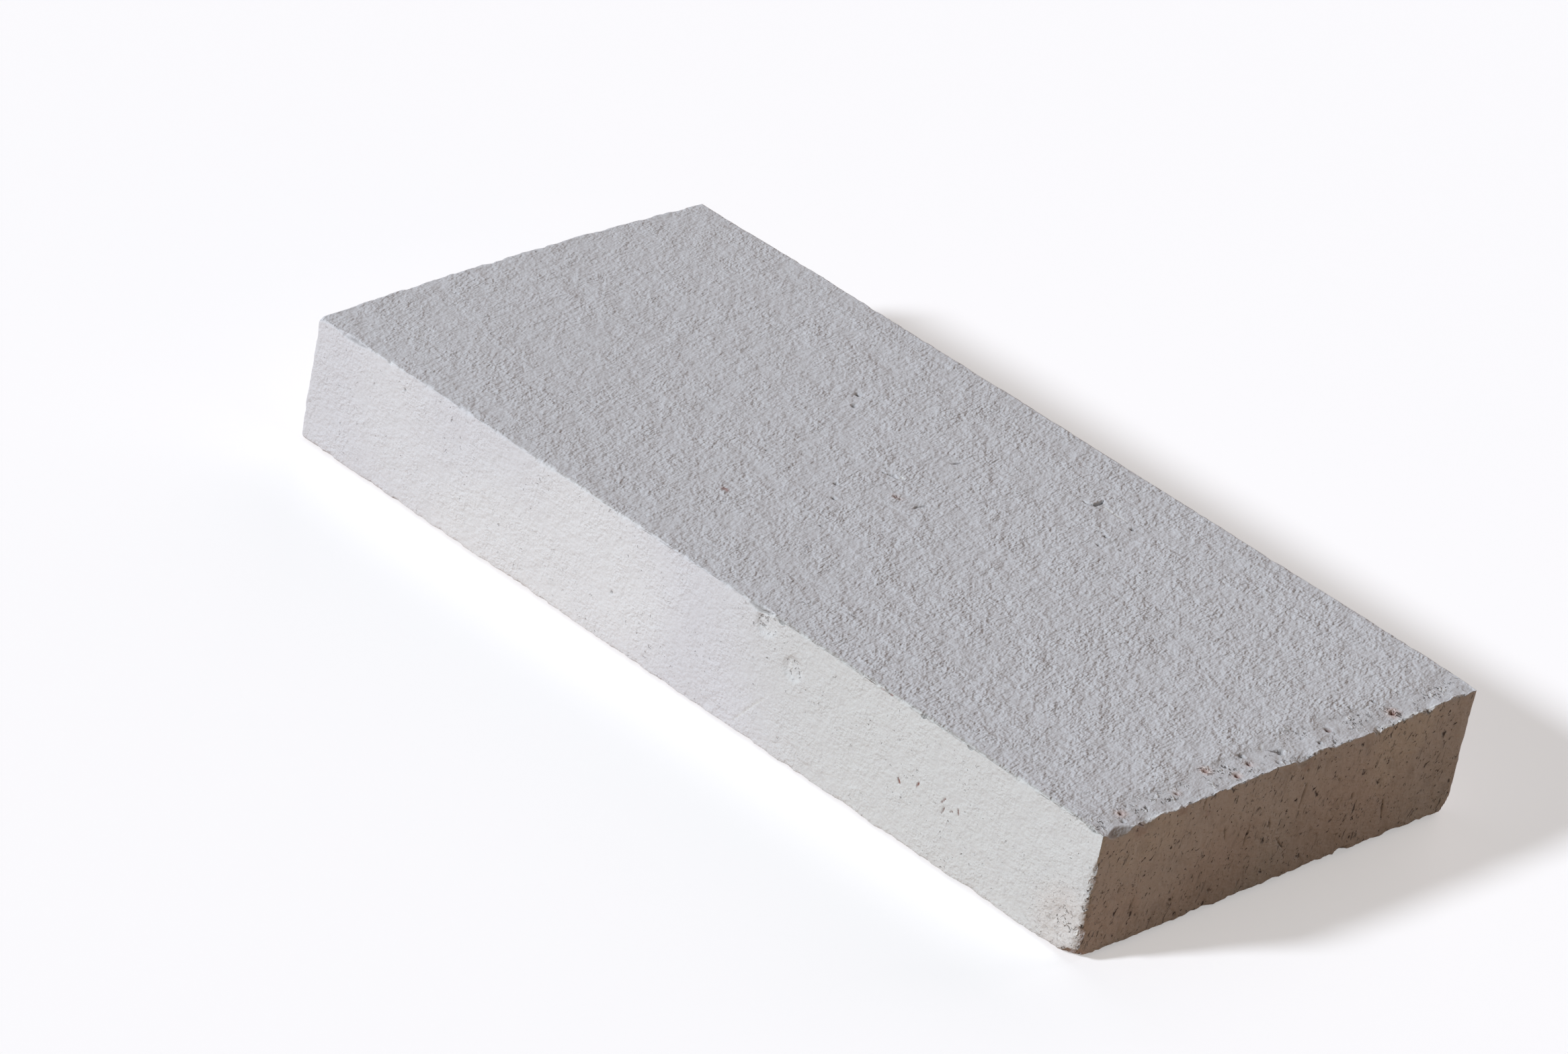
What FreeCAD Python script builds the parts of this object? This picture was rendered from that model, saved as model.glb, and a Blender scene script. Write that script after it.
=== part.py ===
"""Thin refractory firebrick: one pressed and fired slab, lying on its bed face.

The frame has +X along the length, +Y across the width and +Z up. The origin is the centre of the
bed face, so the brick stands on Z = 0. The near end is at +X, and the front side is at -Y.
All sizes are in millimetres.
"""

import FreeCAD
import Part
import Sketcher
import os

PARTS_FOLDER = "parts"

# Driving dimensions: alias, value and meaning.
SIZES = (
    ("length", 230.0, "overall length"),
    ("width", 115.0, "overall width"),
    ("thickness", 30.0, "overall thickness"),
    ("upright_radius", 1.6, "rounding of the four upright corner edges"),
    ("top_arris_radius", 1.0, "rounding of the edges round the top face"),
    ("bed_arris_radius", 1.4, "rounding of the edges round the bed face"),
    ("far_top_break_length", 6.0, "break at the far end's front top corner, along the length"),
    ("far_top_break_width", 3.0, "the same break, along the width"),
    ("far_top_break_height", 2.2, "the same break, down the corner"),
    ("near_foot_break_length", 5.5, "break at the near end's front foot, along the length"),
    ("near_foot_break_width", 4.5, "the same break, along the width"),
    ("near_foot_break_height", 4.0, "the same break, up the corner"),
    ("back_foot_break_length", 3.0, "break at the near end's back foot, along the length"),
    ("back_foot_break_width", 2.8, "the same break, along the width"),
    ("back_foot_break_height", 4.2, "the same break, up the corner"),
)

# Corners knocked off in handling: name, and the corner's side along X, Y and Z.
CORNER_BREAKS = (
    ("far_top_break", (-1, -1, 1)),
    ("near_foot_break", (1, -1, -1)),
    ("back_foot_break", (1, 1, -1)),
)

# Two heights closer than this are the same level.
LEVEL_TOLERANCE = 1e-6


def make_sheet(document):
    """Write the driving dimensions into a spreadsheet, each under its own alias."""
    sheet = document.addObject("Spreadsheet::Sheet", "sizes")
    for row, (alias, value, meaning) in enumerate(SIZES, start=1):
        sheet.set(f"A{row}", meaning)
        sheet.set(f"B{row}", str(value))
        sheet.setAlias(f"B{row}", alias)
    document.recompute()
    return sheet


def add_sketch(body, name):
    """Add an empty sketch on the body's own XY plane."""
    planes = {item.Role: item for item in body.Origin.OriginFeatures}
    sketch = body.newObject("Sketcher::SketchObject", name)
    sketch.AttachmentSupport = [(planes["XY_Plane"], "")]
    sketch.MapMode = "FlatFace"
    return sketch


def draw_centred_rectangle(sketch, x_size, y_size):
    """Draw a rectangle centred on the sketch's origin, with its sides bound to two expressions."""
    corners = [FreeCAD.Vector(x, y, 0) for x, y in ((-1, -1), (1, -1), (1, 1), (-1, 1))]
    for start, end in zip(corners, corners[1:] + corners[:1]):
        sketch.addGeometry(Part.LineSegment(start, end), False)
    for side, direction in enumerate(("Horizontal", "Vertical", "Horizontal", "Vertical")):
        following = (side + 1) % len(corners)
        sketch.addConstraint(Sketcher.Constraint("Coincident", side, 2, following, 1))
        sketch.addConstraint(Sketcher.Constraint(direction, side))
    sketch.addConstraint(Sketcher.Constraint("Symmetric", 0, 1, 2, 1, -1, 1))
    for name, side, kind, expression in (
        ("x_size", 0, "DistanceX", x_size),
        ("y_size", 1, "DistanceY", y_size),
    ):
        index = sketch.addConstraint(Sketcher.Constraint(kind, side, 1, side, 2, 2.0))
        sketch.renameConstraint(index, name)
        sketch.setExpression(f"Constraints.{name}", expression)


def press_block(body):
    """Pad the bed outline up to the full thickness, as the press fills its mould."""
    outline = add_sketch(body, "bed_outline")
    draw_centred_rectangle(outline, "sizes.length", "sizes.width")
    block = body.newObject("PartDesign::Pad", "pressed_block")
    block.Profile = outline
    block.setExpression("Length", "sizes.thickness")
    body.Document.recompute()
    return block


def is_upright(edge, top_level):
    """Tell whether an edge runs from the bed face up to the top face."""
    return edge.BoundBox.ZLength > top_level - LEVEL_TOLERANCE


def is_on_top(edge, top_level):
    """Tell whether an edge lies all in the top face."""
    return edge.BoundBox.ZMin > top_level - LEVEL_TOLERANCE


def is_on_bed(edge, top_level):
    """Tell whether an edge lies all in the bed face."""
    return edge.BoundBox.ZMax < LEVEL_TOLERANCE


def round_edges(body, name, radius_alias, is_chosen):
    """Round the chosen edges of the body's last feature, and return the new feature."""
    base = body.Tip
    top_level = base.Shape.BoundBox.ZMax
    numbered = enumerate(base.Shape.Edges, start=1)
    chosen = [f"Edge{number}" for number, edge in numbered if is_chosen(edge, top_level)]
    rounding = body.newObject("PartDesign::Fillet", name)
    rounding.Base = (base, chosen)
    rounding.setExpression("Radius", f"sizes.{radius_alias}")
    body.Document.recompute()
    check_it_cut(base, rounding)
    return rounding


def break_corner(body, name, sides):
    """Knock one corner off along a flat face that cuts each of its three edges at its own leg."""
    base = body.Tip
    legs = [f"sizes.{name}_{along}" for along in ("length", "width", "height")]
    x_leg, y_leg, z_leg = legs
    x_side, y_side, z_side = sides

    # The outline and the depth are as long as the three legs together, which covers the corner.
    reach = " + ".join(legs)
    face = add_sketch(body, f"{name}_face")
    draw_centred_rectangle(face, f"2 * ({reach})", f"2 * ({reach})")

    # The middle of the broken face is a third of each leg in from the corner.
    z_corner = "sizes.thickness - " if z_side > 0 else ""
    for axis, place in (
        ("x", f"{x_side} * (sizes.length / 2 - {x_leg} / 3)"),
        ("y", f"{y_side} * (sizes.width / 2 - {y_leg} / 3)"),
        ("z", f"{z_corner}{z_leg} / 3"),
    ):
        face.setExpression(f"AttachmentOffset.Base.{axis}", place)

    # The face looks outwards along (x_side / x_leg, y_side / y_leg, z_side / z_leg), so the
    # upright sketch normal turns to that direction about the level axis square to both.
    lean = f"sqrt(1 / {x_leg}^2 + 1 / {y_leg}^2)"
    face.setExpression("AttachmentOffset.Rotation.Axis.x", f"{-y_side} / {y_leg}")
    face.setExpression("AttachmentOffset.Rotation.Axis.y", f"{x_side} / {x_leg}")
    face.setExpression("AttachmentOffset.Rotation.Axis.z", "0")
    face.setExpression("AttachmentOffset.Rotation.Angle", f"atan2({lean}; {z_side} / {z_leg})")

    chip = body.newObject("PartDesign::Pocket", name)
    chip.Profile = face
    chip.Reversed = True
    chip.setExpression("Length", reach)
    body.Document.recompute()
    check_it_cut(base, chip)
    return chip


def check_it_cut(before, after):
    """Stop if a feature that should take clay away took none."""
    if after.Shape.isNull() or not after.Shape.Volume < before.Shape.Volume:
        raise RuntimeError(f"{after.Name} cut nothing from {before.Name}")


def make_firebrick(document):
    """Build the brick as one body: the pressed block, its rounded edges, then its broken corners."""
    body = document.addObject("PartDesign::Body", "firebrick")
    body.Label = "firebrick"
    press_block(body)
    round_edges(body, "upright_corners", "upright_radius", is_upright)
    round_edges(body, "top_arrises", "top_arris_radius", is_on_top)
    round_edges(body, "bed_arrises", "bed_arris_radius", is_on_bed)
    for name, sides in CORNER_BREAKS:
        break_corner(body, name, sides)
    return body


def check_document(document, sub_parts):
    """Stop if any object failed to recompute, or if a sub-part is not one valid solid."""
    for item in document.Objects:
        if {"Invalid", "Error"} & set(item.State):
            raise RuntimeError(f"{item.Name} failed to recompute: {item.State}")
    for sub_part in sub_parts:
        shape = sub_part.Shape
        if shape.isNull() or not shape.isValid() or len(shape.Solids) != 1:
            raise RuntimeError(f"{sub_part.Label} is not one valid solid")


def write_parts(sub_parts):
    """Write each sub-part to its own STEP file, named by its label."""
    os.makedirs(PARTS_FOLDER, exist_ok=True)
    for sub_part in sub_parts:
        sub_part.Shape.exportStep(os.path.join(PARTS_FOLDER, f"{sub_part.Label}.step"))
        box = sub_part.Shape.optimalBoundingBox()
        print(
            f"{sub_part.Label}: {box.XLength:.2f} x {box.YLength:.2f} x {box.ZLength:.2f} mm, "
            f"{sub_part.Shape.Volume / 1000:.2f} cm3"
        )


def main():
    """Make the document, build the brick in it and write its file."""
    document = FreeCAD.newDocument("refractory_firebrick")
    make_sheet(document)
    sub_parts = [make_firebrick(document)]
    document.recompute()
    check_document(document, sub_parts)
    write_parts(sub_parts)


main()
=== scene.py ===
"""Looks of a thin refractory firebrick: one slab of pressed and fired clay, lying on its bed face.

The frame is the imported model's own, in metres: +X runs along the length to the near end, +Y across
the width to the back side, and +Z up from the bed face. The slab's mesh starts as the model's box, is
ruled with a fine grid, and is then worn, chipped and pitted vertex by vertex. The sizes in the classes
are in millimetres and degrees, unless they say otherwise.
"""

import logging
import math
from dataclasses import dataclass
from enum import Enum
from typing import Any, ClassVar, NamedTuple

import bmesh
import bpy
from mathutils import Matrix, Vector, noise
from mathutils.kdtree import KDTree

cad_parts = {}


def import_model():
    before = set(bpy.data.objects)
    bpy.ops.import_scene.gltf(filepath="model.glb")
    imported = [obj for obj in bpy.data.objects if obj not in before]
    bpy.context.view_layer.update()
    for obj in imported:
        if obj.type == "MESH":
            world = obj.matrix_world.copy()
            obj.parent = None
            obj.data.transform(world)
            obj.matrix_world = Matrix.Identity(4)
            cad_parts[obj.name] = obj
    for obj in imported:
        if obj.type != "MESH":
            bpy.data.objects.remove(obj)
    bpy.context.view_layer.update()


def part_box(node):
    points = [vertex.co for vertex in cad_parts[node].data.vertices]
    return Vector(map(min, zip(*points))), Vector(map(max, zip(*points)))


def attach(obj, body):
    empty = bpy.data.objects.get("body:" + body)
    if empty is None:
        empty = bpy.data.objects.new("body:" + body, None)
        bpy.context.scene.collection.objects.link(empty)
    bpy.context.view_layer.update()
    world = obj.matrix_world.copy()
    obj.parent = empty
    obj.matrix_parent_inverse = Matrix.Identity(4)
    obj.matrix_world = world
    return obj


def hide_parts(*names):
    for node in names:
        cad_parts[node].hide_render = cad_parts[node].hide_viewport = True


MM = 0.001
NODE = "firebrick"
BODY = "root"

# Noise is always 0 at whole numbers, so it is read off them, and each layer at a height of its own.
NOISE_START = (0.37, 0.71)
LAYER_STEP = 17.3

# The shares from 0 to 1 that every vertex of the slab has, and that the finish reads by these names.
ATTRIBUTES = ("peened", "torn", "crumbly", "shade_and_dirt", "rust", "blush", "drab", "pale")

# Marks narrower than this get the finest cells of the grid.
SMALL_MARK = 3.5

log = logging.getLogger(NODE)


def linear(hex_colour: str) -> tuple[float, float, float, float]:
    """Turn an sRGB hex colour into the linear colour that a shader takes.

    Args:
        hex_colour: the colour as "#RRGGBB".

    Returns:
        Its linear red, green and blue, with an alpha of 1.
    """
    channels = (int(hex_colour[i : i + 2], 16) / 255 for i in (1, 3, 5))
    red, green, blue = (c / 12.92 if c <= 0.04045 else ((c + 0.055) / 1.055) ** 2.4 for c in channels)
    return red, green, blue, 1.0


def ease(value: float, start: float, end: float) -> float:
    """Rise smoothly from 0 to 1 as a value goes from start to end.

    Args:
        value: the value.
        start: where the rise starts. It may lie above end.
        end: where the rise ends.

    Returns:
        The share of the rise, from 0 to 1.
    """
    share = min(max((value - start) / (end - start), 0.0), 1.0)
    return share * share * (3.0 - 2.0 * share)


def heading(azimuth: float, elevation: float) -> Vector:
    """Find the direction from the slab to a camera or a lamp.

    Args:
        azimuth: degrees round from the front side, towards the near end.
        elevation: degrees up from level.

    Returns:
        The direction, with a length of 1.
    """
    turn, rise = math.radians(azimuth), math.radians(elevation)
    return Vector((math.sin(turn) * math.cos(rise), -math.cos(turn) * math.cos(rise), math.sin(rise)))


def add_node(
    tree: bpy.types.NodeTree, kind: str, inputs: dict[str | int, Any] | None = None, **settings: Any
) -> bpy.types.Node:
    """Add one shader node with its settings, values and links.

    Args:
        tree: the node tree that it goes into.
        kind: Blender's name for this kind of node.
        inputs: what goes into its inputs: a value, or the output socket of another node.
        settings: the node's own properties.

    Returns:
        The new node.
    """
    node = tree.nodes.new(kind)
    for name, value in settings.items():
        setattr(node, name, value)
    for name, value in (inputs or {}).items():
        if isinstance(value, bpy.types.NodeSocket):
            tree.links.new(value, node.inputs[name])
        else:
            node.inputs[name].default_value = value
    return node


class Face(Enum):
    """A face of the slab, by the direction that it looks in."""

    TOP = (0.0, 0.0, 1.0)
    BED = (0.0, 0.0, -1.0)
    FRONT = (0.0, -1.0, 0.0)
    BACK = (0.0, 1.0, 0.0)
    NEAR_END = (1.0, 0.0, 0.0)
    FAR_END = (-1.0, 0.0, 0.0)

    @property
    def outward(self) -> Vector:
        """The direction that the face looks in."""
        return Vector(self.value)

    @property
    def axis(self) -> int:
        """The axis that the face is square to: 0 for X, 1 for Y and 2 for Z."""
        return next(axis for axis in range(3) if self.value[axis])


@dataclass(frozen=True)
class Block:
    """The box that the slab is cut from, by its lowest and highest corners in metres."""

    low: Vector
    high: Vector

    @property
    def size(self) -> Vector:
        """The length, width and thickness of the box."""
        return self.high - self.low

    @property
    def centre(self) -> Vector:
        """The middle of the box."""
        return (self.low + self.high) / 2

    def level(self, face: Face) -> float:
        """Return where a face lies along its own axis."""
        return self.high[face.axis] if face.value[face.axis] > 0 else self.low[face.axis]

    def on_face(self, face: Face, first: float, second: float) -> Vector:
        """Find a point of a face.

        Args:
            face: the face.
            first: millimetres along the first of the face's two axes, in the frame's order.
            second: millimetres along the other one.

        Returns:
            The point in the frame.
        """
        place = [first * MM, second * MM]
        place.insert(face.axis, self.level(face))
        return Vector(place)

    def on_arris(self, faces: tuple[Face, Face], along: float) -> Vector:
        """Find a point of the arris between two faces.

        Args:
            faces: the two faces.
            along: millimetres along the axis that the arris follows.

        Returns:
            The point in the frame.
        """
        place = Vector((along * MM,) * 3)
        for face in faces:
            place[face.axis] = self.level(face)
        return place


@dataclass(frozen=True)
class Ripple:
    """Smooth noise: the width of its swells, how strong it is, and how many finer layers it adds up.

    The layer tells one ripple from another of the same width.
    """

    width: float
    strength: float = 1.0
    octaves: int = 2
    layer: int = 0

    # Each finer layer is half as wide and half as strong as the one before.
    fade: ClassVar[float] = 1.0
    narrowing: ClassVar[float] = 2.0

    def at(self, place: Vector) -> float:
        """Read the noise at a place, from about minus its strength to its strength."""
        point = place / (self.width * MM) + Vector((*NOISE_START, LAYER_STEP * self.layer))
        return self.strength * noise.fractal(point, self.fade, self.narrowing, self.octaves)

    def depth(self, place: Vector) -> float:
        """Read how far the noise lies under its crests at a place, from about 0 to its strength."""
        return 0.5 * (self.strength + self.at(place))


class Clay:
    """The slab's mesh while it is worn: its vertices, found by place, and their shares."""

    def __init__(self, bm: bmesh.types.BMesh) -> None:
        """Give every vertex its shares, which start at 0.

        Args:
            bm: the mesh, with all of its vertices.
        """
        self.bm = bm
        self.layers = {name: bm.verts.layers.float.new(name) for name in ATTRIBUTES}
        self.tree = KDTree(len(bm.verts))

    def settle(self) -> None:
        """Note where the vertices lie now, so that they can be found by place."""
        self.bm.verts.ensure_lookup_table()
        for vert in self.bm.verts:
            self.tree.insert(vert.co, vert.index)
        self.tree.balance()

    def near(self, place: Vector, reach: float) -> list[bmesh.types.BMVert]:
        """List the vertices that settled within a reach in millimetres of a place."""
        return [self.bm.verts[index] for _, index, _ in self.tree.find_range(place, reach * MM)]

    def mark(self, vert: bmesh.types.BMVert, name: str, share: float) -> None:
        """Raise one share of a vertex, unless it is higher already."""
        layer = self.layers[name]
        vert[layer] = max(vert[layer], share)


class FineZone(NamedTuple):
    """A place where the grid is finer, how far round it, and how often the cells are halved there."""

    place: Vector
    reach: float
    halvings: int


class Mark:
    """One mark of handling, pressing or firing, which is cut once the slab is worn."""

    def fine_zones(self, block: Block) -> list[FineZone]:
        """List where the grid of the block is finer for this mark: nowhere, unless its kind says so."""
        return []

    def cut(self, block: Block, clay: Clay) -> None:
        """Cut the mark into the worn mesh of the block, as each kind does in its own way."""
        raise NotImplementedError


@dataclass(frozen=True)
class Pit(Mark):
    """A hollow in a face, where a grain fell out or a flake spalled off.

    Its place is given along the face's two axes in the frame's order. The wall is the share of the
    radius that slopes: 1 makes a bowl, and less makes a scar with a flat floor. A depth below 0 makes
    a bump.
    """

    face: Face
    first: float
    second: float
    width: float
    depth: float
    wall: float = 1.0
    stain: float = 0.0
    blush: float = 0.0
    crumbled: float = 0.0

    # The rim wanders. A blush and its crumbs spread past the rim, over this many radii.
    rim: ClassVar[tuple[Ripple, ...]] = (Ripple(1.1, 0.3), Ripple(2.6, 0.3))
    blush_radii: ClassVar[tuple[float, float]] = (2.4, 0.9)
    crumb_radii: ClassVar[tuple[float, float]] = (3.2, 1.6)
    search_widths: ClassVar[float] = 2.0
    fine_margin: ClassVar[float] = 0.5

    def fine_zones(self, block: Block) -> list[FineZone]:
        """List where the grid is finer for this pit.

        Args:
            block: the block that it is cut into.

        Returns:
            Its one zone.
        """
        place = block.on_face(self.face, self.first, self.second)
        return [FineZone(place, self.width / 2 + self.fine_margin, 2 if self.width < SMALL_MARK else 1)]

    def cut(self, block: Block, clay: Clay) -> None:
        """Press the pit into its face.

        Args:
            block: the block that it is cut into.
            clay: the mesh.
        """
        place = block.on_face(self.face, self.first, self.second)
        outward = self.face.outward
        radius = self.width / 2 * MM
        for vert in clay.near(place, self.search_widths * self.width):
            away = vert.co - place
            away -= outward * away.dot(outward)
            spread = away.length / radius + self.wall * sum(ripple.at(vert.co) for ripple in self.rim)
            sunk = ease(spread, 1.0, 1.0 - self.wall)
            vert.co -= outward * self.depth * sunk * MM
            # The floor of a pit that is not crumbled is painted dark as shade in the hollow, with some
            # dirt.
            if self.depth > 0 and not self.crumbled:
                clay.mark(vert, "shade_and_dirt", sunk * self.wall**2)
            clay.mark(vert, "rust", sunk * self.stain)
            clay.mark(vert, "blush", ease(spread, *self.blush_radii) * self.blush)
            clay.mark(vert, "crumbly", sunk * self.crumbled)
            clay.mark(vert, "crumbly", ease(spread, *self.crumb_radii) * self.blush)


@dataclass(frozen=True)
class Groove(Mark):
    """A crack, gash or scratch in a face, along points given as a pit's place is."""

    face: Face
    points: tuple[tuple[float, float], ...]
    width: float
    depth: float
    stain: float = 0.0
    pale: float = 0.0

    # It is this share of its width at its two ends, and its edge wanders.
    end_share: ClassVar[float] = 0.35
    edge: ClassVar[Ripple] = Ripple(0.9, 0.12)
    fine_margin: ClassVar[float] = 0.5

    def fine_zones(self, block: Block) -> list[FineZone]:
        """List where the grid is finer for this groove.

        Args:
            block: the block that it is cut into.

        Returns:
            Its zones, about a millimetre apart.
        """
        zones = []
        for start, end in zip(self.points, self.points[1:]):
            steps = max(1, math.ceil(math.dist(start, end)))
            for step in range(steps + 1):
                point = [a + (b - a) * step / steps for a, b in zip(start, end)]
                place = block.on_face(self.face, *point)
                zones.append(FineZone(place, self.width / 2 + self.fine_margin, 2))
        return zones

    def cut(self, block: Block, clay: Clay) -> None:
        """Cut the groove into its face, along its points and thinner towards its two ends.

        Args:
            block: the block that it is cut into.
            clay: the mesh.
        """
        outward = self.face.outward
        points = [block.on_face(self.face, *point) for point in self.points]
        length = sum((end - start).length for start, end in zip(points, points[1:]))
        middle = sum(points, Vector()) / len(points)
        done = 0.0
        sunk: dict[bmesh.types.BMVert, float] = {}
        for start, end in zip(points, points[1:]):
            run = end - start
            for vert in clay.near(middle, length / MM + self.width):
                flat = vert.co - start
                flat -= outward * flat.dot(outward)
                share = min(max(flat.dot(run) / run.length_squared, 0.0), 1.0)
                away = (flat - run * share).length / MM + self.edge.at(vert.co)
                gone = (done + run.length * share) / length
                taper = self.end_share + (1.0 - self.end_share) * math.sin(math.pi * gone)
                sunk[vert] = max(sunk.get(vert, 0.0), ease(away, self.width / 2 * taper, 0.0))
            done += run.length
        for vert, share in sunk.items():
            vert.co -= outward * self.depth * share * MM
            # Its floor is painted dark as shade in the groove, with some dirt, less so where it is pale.
            clay.mark(vert, "shade_and_dirt", share * (1.0 - self.pale))
            clay.mark(vert, "rust", share * self.stain)
            clay.mark(vert, "pale", share * self.pale)


@dataclass(frozen=True)
class Bite(Mark):
    """A chip out of the arris between two faces, at a place along it."""

    faces: tuple[Face, Face]
    along: float
    width: float
    depth: float
    stain: float = 0.0

    # Its floor is uneven. It is painted darker as shade in full at one depth, and stained in full at
    # another.
    floor: ClassVar[Ripple] = Ripple(1.5, 0.12)
    shade: ClassVar[float] = 0.5
    shaded_depth: ClassVar[float] = 0.5
    stained_depth: ClassVar[float] = 0.4
    fine_share: ClassVar[float] = 0.6
    fine_margin: ClassVar[float] = 0.3

    def fine_zones(self, block: Block) -> list[FineZone]:
        """List where the grid is finer for this bite.

        Args:
            block: the block that it is cut into.

        Returns:
            Its one zone, or none for a wide bite.
        """
        if self.width >= SMALL_MARK:
            return []
        reach = self.fine_share * self.width + self.fine_margin
        return [FineZone(block.on_arris(self.faces, self.along), reach, 2)]

    def cut(self, block: Block, clay: Clay) -> None:
        """Scoop the chip out of its arris, as a round hollow.

        Args:
            block: the block that it is cut into.
            clay: the mesh.
        """
        place = block.on_arris(self.faces, self.along)
        outward = (self.faces[0].outward + self.faces[1].outward).normalized()
        radius = (self.width**2 / 4 + self.depth**2) / (2 * self.depth) * MM
        middle = place + outward * (radius - self.depth * MM)
        for vert in clay.near(place, self.width):
            away = vert.co - middle
            sunk = radius + self.floor.at(vert.co) * MM - away.length
            if sunk > 0:
                vert.co += away.normalized() * sunk
                clay.mark(vert, "shade_and_dirt", self.shade * ease(sunk, 0.0, self.shaded_depth * MM))
                clay.mark(vert, "rust", self.stain * ease(sunk, 0.0, self.stained_depth * MM))


@dataclass(frozen=True)
class CornerBreak(Mark):
    """A corner knocked off, by the three faces that meet there and its leg along X, Y and Z."""

    faces: tuple[Face, Face, Face]
    legs: tuple[float, float, float]
    blush: float = 0.0

    # The broken face is rough, and its look spreads this far past its edge.
    roughness: ClassVar[tuple[Ripple, ...]] = (Ripple(2.2, 0.5), Ripple(5.0, 0.5))
    fresh_margin: ClassVar[float] = 0.8
    search_legs: ClassVar[float] = 1.5

    def cut(self, block: Block, clay: Clay) -> None:
        """Flatten the corner on to its broken face, which is left rough and a little pink.

        Args:
            block: the block that it is cut into.
            clay: the mesh.
        """
        place = Vector(block.level(face) for face in sorted(self.faces, key=lambda face: face.axis))
        inward = -sum((face.outward for face in self.faces), Vector())
        middle = place + Vector(inward[axis] * self.legs[axis] * MM / 3 for axis in range(3))
        outward = Vector(-inward[axis] / self.legs[axis] for axis in range(3)).normalized()
        for vert in clay.near(place, max(self.legs) * self.search_legs):
            rough = sum(ripple.at(vert.co) for ripple in self.roughness) * MM
            proud = (vert.co - middle).dot(outward) - rough
            fresh = ease(proud, -self.fresh_margin * MM, 0.0)
            clay.mark(vert, "blush", self.blush * fresh)
            clay.mark(vert, "torn", fresh)
            if proud > 0:
                vert.co -= outward * proud


@dataclass(frozen=True)
class StainOrPaintedLight(Mark):
    """A patch of another colour, flush with its face, at a place given as a pit's is: a stain, or a patch
    of painted light or shade.
    """

    face: Face
    first: float
    second: float
    width: float
    rust: float = 0.0
    blush: float = 0.0
    drab: float = 0.0
    pale: float = 0.0
    shade_and_dirt: float = 0.0

    # It fades over these radii, with an uneven edge, and over these distances from its own face.
    fade_radii: ClassVar[tuple[float, float]] = (1.2, 0.4)
    unevenness: ClassVar[float] = 0.5
    fade_off_face: ClassVar[tuple[float, float]] = (1.6, 0.6)
    fine_share: ClassVar[float] = 0.6

    def fine_zones(self, block: Block) -> list[FineZone]:
        """List where the grid is finer for this stain.

        Args:
            block: the block that it lies on.

        Returns:
            Its one zone, or none for a wide stain.
        """
        if self.width >= SMALL_MARK:
            return []
        place = block.on_face(self.face, self.first, self.second)
        return [FineZone(place, self.fine_share * self.width, 2)]

    def cut(self, block: Block, clay: Clay) -> None:
        """Colour the patch, which takes nothing off the face.

        Args:
            block: the block that it lies on.
            clay: the mesh.
        """
        place = block.on_face(self.face, self.first, self.second)
        edge = Ripple(self.width / 2, self.unevenness)
        for vert in clay.near(place, self.width):
            away = vert.co - place
            spread = away.length / MM / (self.width / 2) + edge.at(vert.co)
            share = ease(spread, *self.fade_radii)
            share *= ease(abs(away.dot(self.face.outward)) / MM, *self.fade_off_face)
            clay.mark(vert, "rust", share * self.rust)
            clay.mark(vert, "blush", share * self.blush)
            clay.mark(vert, "drab", share * self.drab)
            clay.mark(vert, "pale", share * self.pale)
            clay.mark(vert, "shade_and_dirt", share * self.shade_and_dirt)


@dataclass(frozen=True)
class Pattern:
    """A noise pattern of the finish, with the width of its features along X, Y and Z.

    It has finer layers to a level of detail, each as strong beside the one before as its harshness
    says. The twist pulls it about by itself, and it is turned about X, Y and Z. Its two levels of the
    noise become 0 and the peak.
    """

    widths: tuple[float, float, float]
    detail: float
    levels: tuple[float, float] = (0.0, 1.0)
    harshness: float = 0.55
    twist: float = 0.0
    turn: tuple[float, float, float] = (0.0, 0.0, 0.0)
    peak: float = 1.0

    def draw(self, tree: bpy.types.NodeTree, place: bpy.types.NodeSocket) -> bpy.types.NodeSocket:
        """Lay the pattern over the slab.

        Args:
            tree: the node tree.
            place: the coordinates.

        Returns:
            The pattern's output.
        """
        scaled = add_node(
            tree,
            "ShaderNodeMapping",
            {
                "Vector": place,
                "Rotation": tuple(math.radians(angle) for angle in self.turn),
                "Scale": tuple(width * MM for width in self.widths),
            },
            vector_type="TEXTURE",
        )
        texture = add_node(
            tree,
            "ShaderNodeTexNoise",
            {
                "Vector": scaled.outputs["Vector"],
                "Scale": 1.0,
                "Detail": self.detail,
                "Roughness": self.harshness,
                "Distortion": self.twist,
            },
        )
        spread = add_node(
            tree,
            "ShaderNodeMapRange",
            {
                "Value": texture.outputs["Fac"],
                "From Min": self.levels[0],
                "From Max": self.levels[1],
                "To Max": self.peak,
            },
        )
        return spread.outputs["Result"]


@dataclass(frozen=True)
class Fleck:
    """A kind of fine dark mark that the finish draws: on which faces, how large and how dense.

    Its widths run along X, Y and Z. A lower level makes it denser, a wider edge makes it softer, and
    it leans towards +Y. Its dark is painted shade in a small hole, crack or dent, with some brown dirt.
    """

    mask: str
    widths: tuple[float, float, float]
    level: float
    darkness: float
    lean: float = 0.0
    edge: float = 0.08

    @property
    def pattern(self) -> Pattern:
        """The ragged pattern that draws it.

        Returns:
            The pattern, which is as dark as the mark where it is full.
        """
        return Pattern(
            self.widths,
            detail=2.0,
            levels=(self.level, self.level + self.edge),
            harshness=0.7,
            twist=0.4,
            turn=(-self.lean, 0.0, 0.0),
            peak=self.darkness,
        )


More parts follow.
